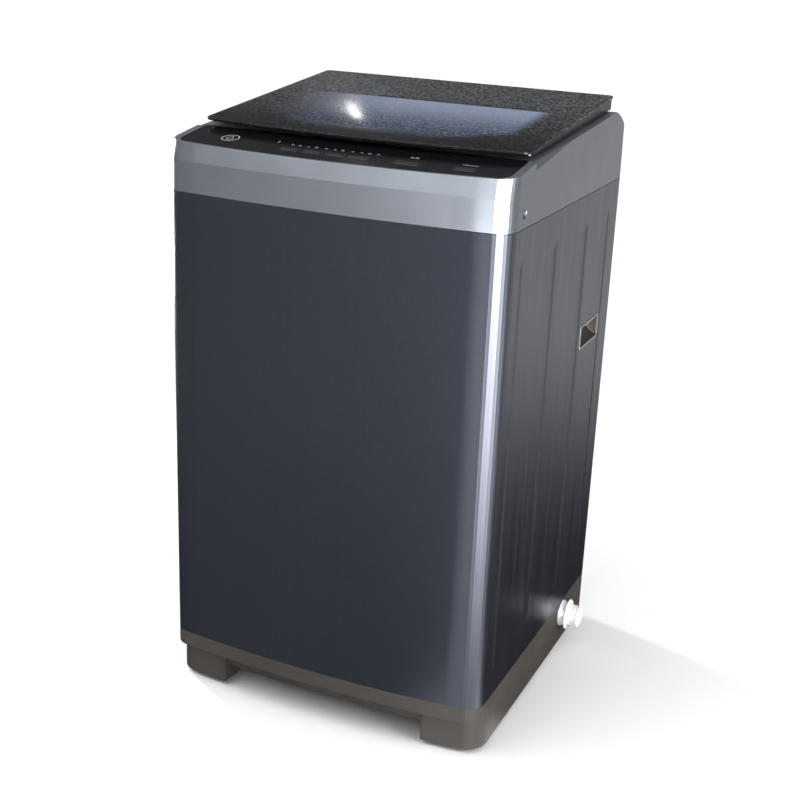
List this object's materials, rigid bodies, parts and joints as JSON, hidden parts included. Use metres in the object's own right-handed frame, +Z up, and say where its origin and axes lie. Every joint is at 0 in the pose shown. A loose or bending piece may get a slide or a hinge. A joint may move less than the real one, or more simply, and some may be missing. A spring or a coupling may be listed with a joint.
{
  "type": "top load washing machine",
  "caption": "Top-loading washing machine: sheet metal cabinet on a plastic base, silver top cover, sloping glass lid and panel, hung tub with spinning basket, pulsator and belt drive.",
  "frame": {"origin": "on the floor, straight below the tub's axis, at the middle of the cabinet's width", "axes": "+X to the machine's right seen from the front and out of the drain outlet, -Y to the front, +Z up"},
  "size_m": [0.5751, 0.563, 0.9515],
  "materials": {
    "body_paint": "satin blue-grey",
    "silver_plastic": "satin silver",
    "black_gloss": "gloss",
    "base_plastic": "matte",
    "dark_plastic": "matte",
    "handle_plastic": "matte",
    "white_plastic": "satin",
    "tub_plastic": "satin",
    "grey_plastic": "satin",
    "pulsator_plastic": "satin",
    "filter_plastic": "satin",
    "board": "matte",
    "lid_tint_glass": "tinted, speckled",
    "galvanised": "galvanised",
    "stainless": "brushed",
    "shaft_steel": "ground",
    "alloy": "die cast",
    "black_rubber": "matte",
    "plug_rubber": "matte",
    "motor_paint": "satin",
    "gear_steel": "sintered",
    "hose_rubber": "matte"
  },
  "bodies": {
    "cabinet": {"cabinet_shell": "body_paint", "rear_panel": "galvanised", "base_frame": "base_plastic", "suspension_brackets": "galvanised", "top_cover": "silver_plastic", "rear_top_cover": "silver_plastic", "control_panel": "black_gloss", "control_board": "board", "inlet_valve": "white_plastic", "dispenser_housing": "grey_plastic", "side_handles": "handle_plastic", "cover_plugs": "silver_plastic", "drain_outlet": "white_plastic", "rear_feet": "dark_plastic", "suspension_rods": "shaft_steel", "pressure_sensor": "dark_plastic", "cord_gland": "dark_plastic", "rear_screws": "shaft_steel", "hinge_pins": "shaft_steel"},
    "lid": {"lid_frame": "black_gloss", "lid_glass": "lid_tint_glass"},
    "drawer": {"detergent_drawer": "white_plastic"},
    "program_button": {"program_key": "black_gloss"},
    "level_button": {"level_key": "black_gloss"},
    "rinse_button": {"rinse_key": "black_gloss"},
    "spin_button": {"spin_key": "black_gloss"},
    "start_button": {"start_key": "black_gloss"},
    "power_button": {"power_key": "black_gloss"},
    "tub": {"outer_tub": "tub_plastic", "tub_cover_ring": "grey_plastic", "mounting_plate": "galvanised", "reducer_housing": "alloy", "spin_bearings": "shaft_steel", "shaft_seal": "black_rubber", "motor_stator": "motor_paint", "drain_valve_body": "grey_plastic", "drain_motor": "dark_plastic", "drain_hose": "hose_rubber", "suspension_springs": "shaft_steel", "damper_cups": "white_plastic", "drive_belt": "black_rubber"},
    "basket": {"basket_wall": "stainless", "basket_base": "grey_plastic", "basket_hub": "alloy", "balance_ring": "grey_plastic", "lint_filters": "filter_plastic", "brake_drum": "shaft_steel", "ring_gear": "gear_steel"},
    "agitator": {"pulsator": "pulsator_plastic", "wash_shaft": "shaft_steel"},
    "planet_1": {"planet_gear_1": "gear_steel"},
    "planet_2": {"planet_gear_2": "gear_steel"},
    "planet_3": {"planet_gear_3": "gear_steel"},
    "input": {"driven_pulley": "alloy", "input_shaft": "gear_steel"},
    "motor_armature": {"motor_rotor": "shaft_steel", "motor_pulley": "alloy"},
    "plug": {"drain_plug": "plug_rubber"},
    "left_foot": {"foot_left": "black_rubber"},
    "right_foot": {"foot_right": "black_rubber"}
  },
  "joints": [
    {"name": "lid_hinge", "type": "hinge", "parent": "cabinet", "child": "lid", "pos_m": [0, 0.212, 0.931], "axis": [-1, 0, 0], "range_deg": [0, 100]},
    {"name": "drawer_slide", "type": "slide", "parent": "cabinet", "child": "drawer", "axis": [0, -1, 0], "range_m": [0, 0.09]},
    {"name": "program_press", "type": "slide", "parent": "cabinet", "child": "program_button", "axis": [0, 0.1507, -0.9886], "range_m": [0, 0.001], "stiffness_N_per_m": 2000},
    {"name": "level_press", "type": "slide", "parent": "cabinet", "child": "level_button", "axis": [0, 0.1507, -0.9886], "range_m": [0, 0.001], "stiffness_N_per_m": 2000},
    {"name": "rinse_press", "type": "slide", "parent": "cabinet", "child": "rinse_button", "axis": [0, 0.1507, -0.9886], "range_m": [0, 0.001], "stiffness_N_per_m": 2000},
    {"name": "spin_press", "type": "slide", "parent": "cabinet", "child": "spin_button", "axis": [0, 0.1507, -0.9886], "range_m": [0, 0.001], "stiffness_N_per_m": 2000},
    {"name": "start_press", "type": "slide", "parent": "cabinet", "child": "start_button", "axis": [0, 0.1507, -0.9886], "range_m": [0, 0.001], "stiffness_N_per_m": 2000},
    {"name": "power_press", "type": "slide", "parent": "cabinet", "child": "power_button", "axis": [0, 0.1507, -0.9886], "range_m": [0, 0.001], "stiffness_N_per_m": 2000},
    {"name": "tub_bounce", "type": "slide", "parent": "cabinet", "child": "tub", "axis": [0, 0, 1], "range_m": [-0.03, 0.02], "stiffness_N_per_m": 10000, "springref_m": 0.0239, "deforming": ["suspension_springs", "drain_hose"]},
    {"name": "basket_spin", "type": "hinge", "parent": "tub", "child": "basket", "pos_m": [0, 0, 0.5], "axis": [0, 0, 1], "continuous": true},
    {"name": "pulsator_spin", "type": "hinge", "parent": "basket", "child": "agitator", "pos_m": [0, 0, 0.28], "axis": [0, 0, 1], "continuous": true},
    {"name": "input_spin", "type": "hinge", "parent": "basket", "child": "input", "pos_m": [0, 0, 0.12], "axis": [0, 0, 1], "continuous": true},
    {"name": "planet_1_spin", "type": "hinge", "parent": "agitator", "child": "planet_1", "pos_m": [0.0195, 0, 0.169], "axis": [0, 0, 1], "continuous": true},
    {"name": "planet_2_spin", "type": "hinge", "parent": "agitator", "child": "planet_2", "pos_m": [-0.00975, 0.01689, 0.169], "axis": [0, 0, 1], "continuous": true},
    {"name": "planet_3_spin", "type": "hinge", "parent": "agitator", "child": "planet_3", "pos_m": [-0.00975, -0.01689, 0.169], "axis": [0, 0, 1], "continuous": true},
    {"name": "motor_spin", "type": "hinge", "parent": "tub", "child": "motor_armature", "pos_m": [-0.112, -0.116, 0.15], "axis": [0, 0, 1], "continuous": true},
    {"name": "drain_pull", "type": "slide", "parent": "tub", "child": "plug", "axis": [-1, 0, 0], "range_m": [0, 0.012], "stiffness_N_per_m": 900},
    {"name": "left_foot_adjust", "type": "slide", "parent": "cabinet", "child": "left_foot", "axis": [0, 0, -1], "range_m": [0, 0.012]},
    {"name": "right_foot_adjust", "type": "slide", "parent": "cabinet", "child": "right_foot", "axis": [0, 0, -1], "range_m": [0, 0.012]}
  ],
  "couplings": [
    {"joint": "input_spin", "follows": "pulsator_spin", "ratio": 4.3333},
    {"joint": "motor_spin", "follows": "pulsator_spin", "ratio": 12.278},
    {"joint": "planet_1_spin", "follows": "pulsator_spin", "ratio": -2.8571},
    {"joint": "planet_2_spin", "follows": "pulsator_spin", "ratio": -2.8571},
    {"joint": "planet_3_spin", "follows": "pulsator_spin", "ratio": -2.8571}
  ]
}
